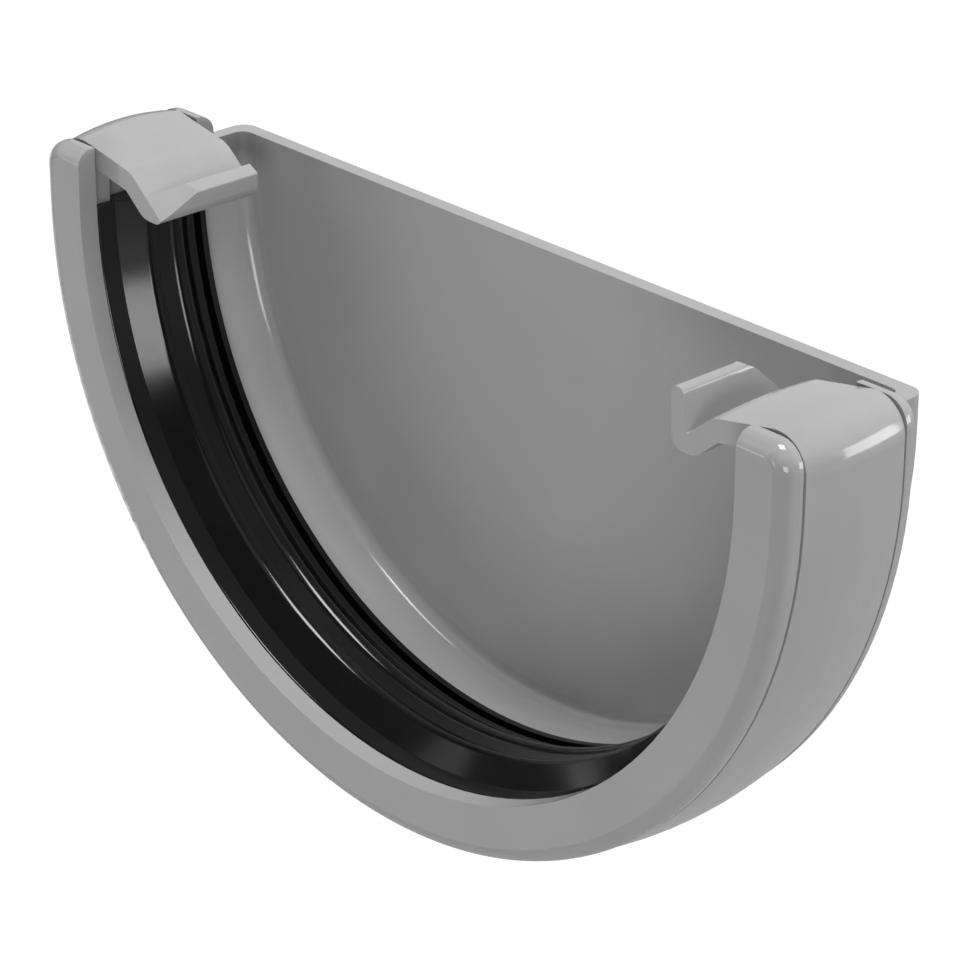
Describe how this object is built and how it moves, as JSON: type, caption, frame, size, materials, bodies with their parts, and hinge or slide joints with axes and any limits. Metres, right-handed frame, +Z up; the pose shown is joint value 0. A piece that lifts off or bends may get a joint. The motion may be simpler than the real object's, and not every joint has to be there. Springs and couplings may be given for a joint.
{
  "type": "gutter end cap",
  "caption": "Half-round gutter end cap: a rimmed socket with a black rubber seal inside it, held by a strap whose ends turn in over the wall as clips for the gutter's edges.",
  "frame": {"origin": "on the axis of the half-round gutter, in the outer face of the end plate", "axes": "+Y out through the end plate, along the gutter; the gutter comes in from -Y; +Z up; +X to the side of the tall thumb lip"},
  "size_m": [0.1316, 0.0289, 0.0749],
  "materials": {
    "grey_plastic": "semi-gloss moulded grey",
    "black_rubber": "smooth satin black"
  },
  "bodies": {
    "root": {"end_cap_body": "grey_plastic", "rubber_seal": "black_rubber", "retaining_strap": "grey_plastic"}
  },
  "joints": []
}
